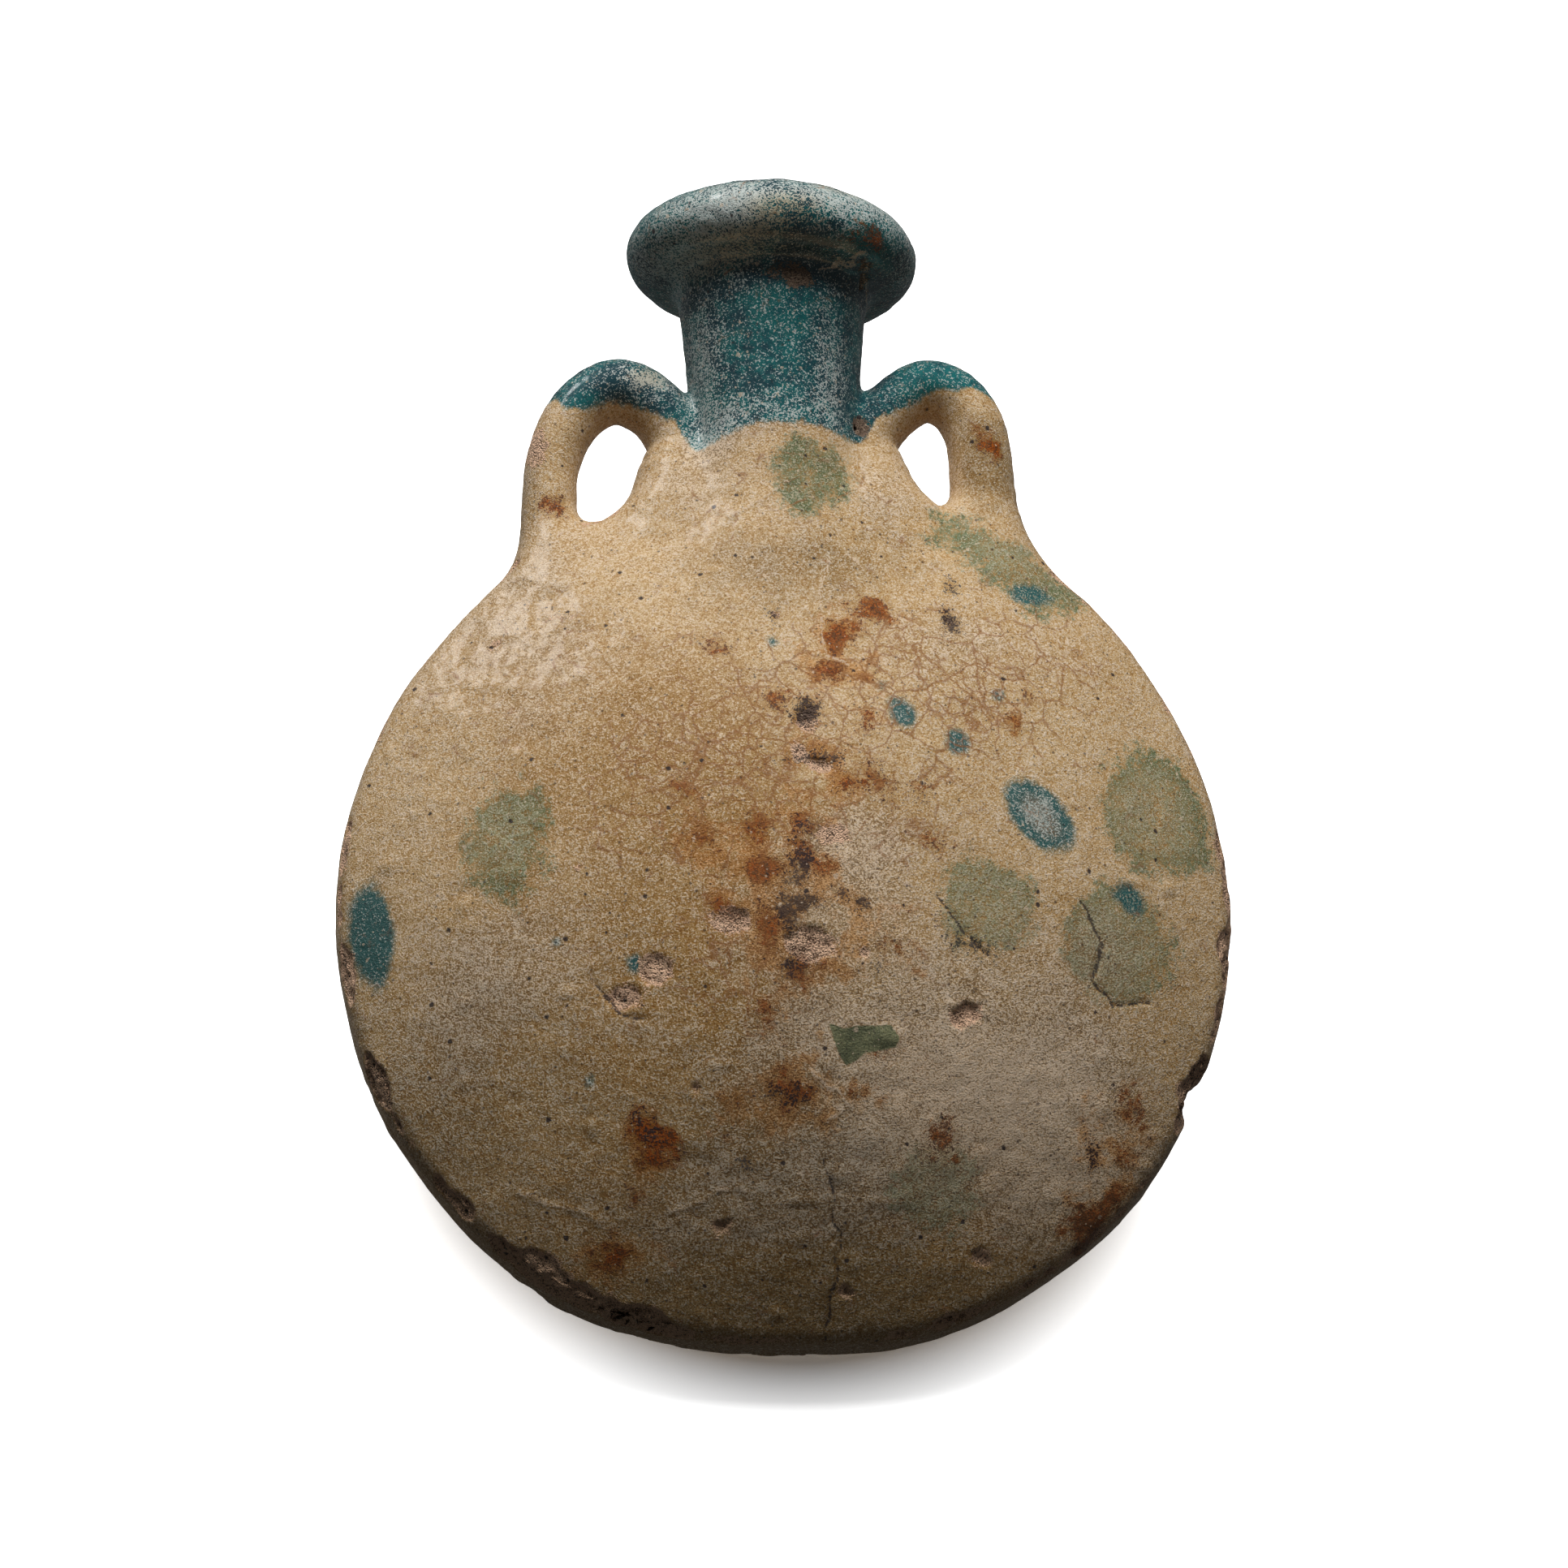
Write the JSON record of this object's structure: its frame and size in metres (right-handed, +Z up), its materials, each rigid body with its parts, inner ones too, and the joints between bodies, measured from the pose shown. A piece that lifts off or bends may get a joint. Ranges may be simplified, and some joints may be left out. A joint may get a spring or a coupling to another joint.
{
  "type": "pilgrim flask",
  "caption": "Round lentoid pilgrim flask of glazed earthenware with a short neck, a thick rolled lip and a loop handle on each shoulder.",
  "frame": {"origin": "under the middle of the flask, on the surface that its foot stands on", "axes": "+Z up along the neck, -Y out of the front dome, +X to the right seen from the front"},
  "size_m": [0.2, 0.076, 0.2648],
  "materials": {
    "body_glaze": "crackled buff glaze, worn and stained, over pinkish buff clay",
    "neck_glaze": "deep turquoise glaze with pale weathering"
  },
  "bodies": {
    "root": {"front_shell": "body_glaze", "back_shell": "body_glaze", "edge_band": "body_glaze", "neck": "neck_glaze", "lip_ring": "neck_glaze", "neck_collar": "neck_glaze", "left_handle": "body_glaze", "right_handle": "body_glaze"}
  },
  "joints": []
}
